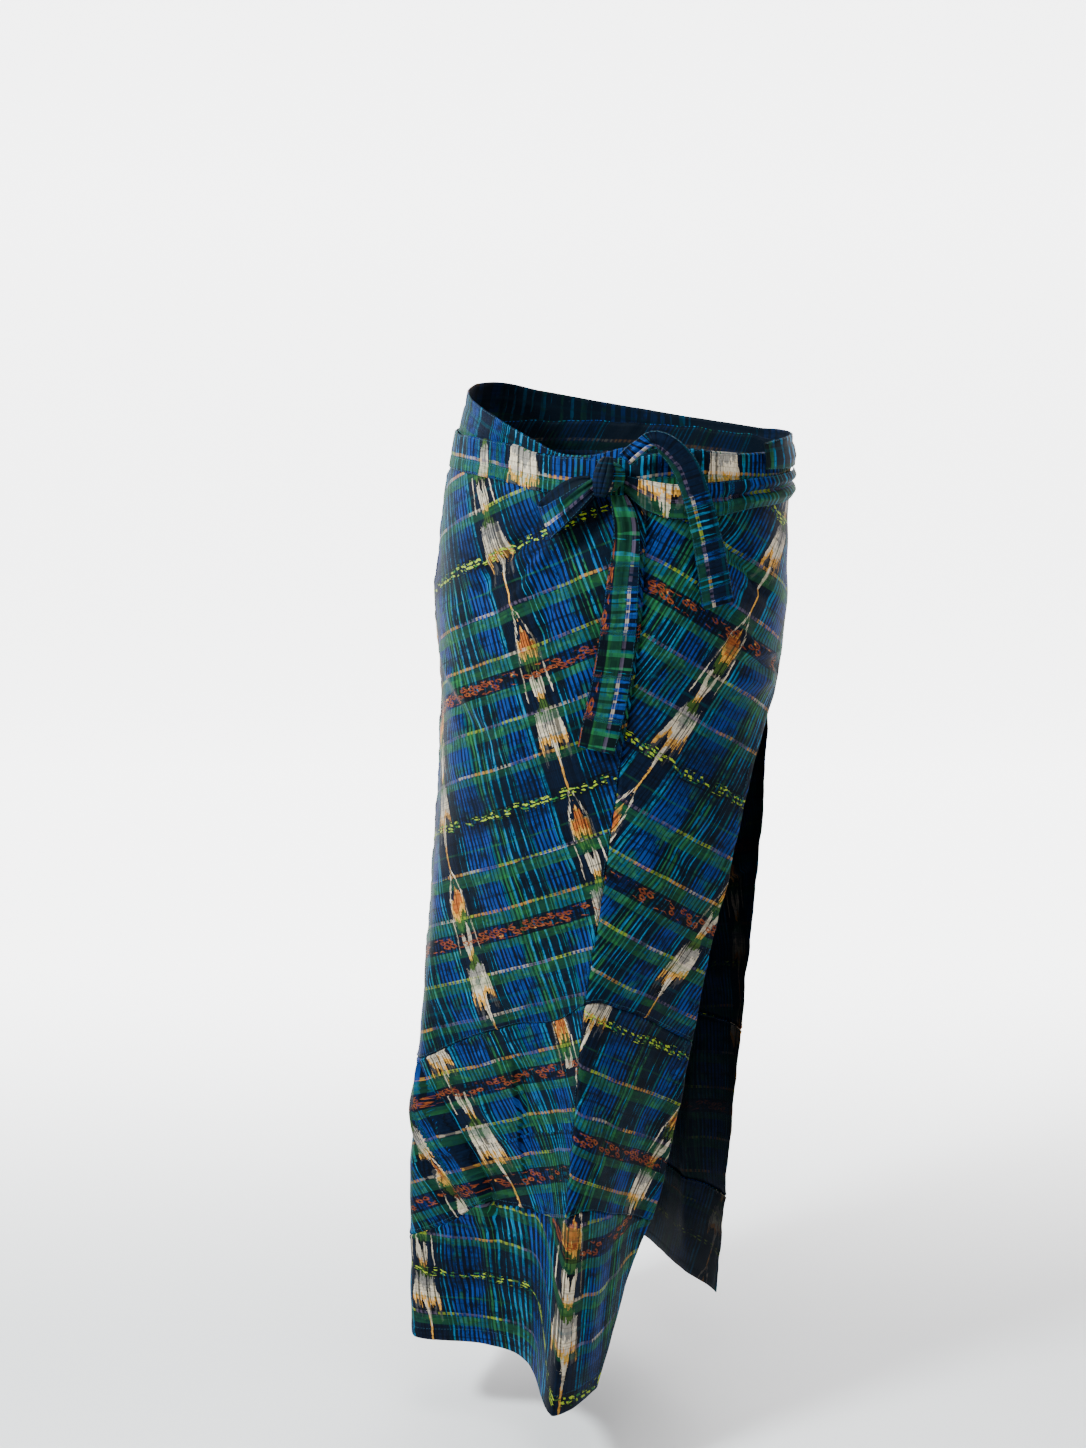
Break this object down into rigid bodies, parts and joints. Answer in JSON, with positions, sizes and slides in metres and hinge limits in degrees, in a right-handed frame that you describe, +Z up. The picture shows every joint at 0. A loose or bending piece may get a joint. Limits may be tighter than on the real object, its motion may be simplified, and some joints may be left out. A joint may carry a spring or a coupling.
{
  "type": "wrap skirt",
  "caption": "Long wrap skirt in its worn, hollow form: tiered panels with a slit beside the back panel, a waistband and ties knotted in a bow at the back.",
  "frame": {"origin": "centre of the waist ring, half-way up the waistband", "axes": "+X the wearer's right, +Y the wearer's front, +Z up"},
  "size_m": [0.364, 0.3724, 0.9587],
  "materials": {
    "cloth": "woven cotton, plaid with ikat figures, soft satin",
    "tie_cloth": "the same cotton, doubled"
  },
  "bodies": {
    "root": {"waistband": "tie_cloth", "front_upper": "cloth", "back_left_upper": "cloth", "back_right_upper": "cloth", "front_middle": "cloth", "back_left_middle": "cloth", "back_right_middle": "cloth", "front_lower": "cloth", "back_lower": "cloth", "tie_wrap": "tie_cloth", "tie_side": "tie_cloth", "bow_knot": "tie_cloth", "bow_loop": "tie_cloth", "bow_tail_short": "tie_cloth", "bow_tail_long": "tie_cloth"}
  },
  "joints": []
}
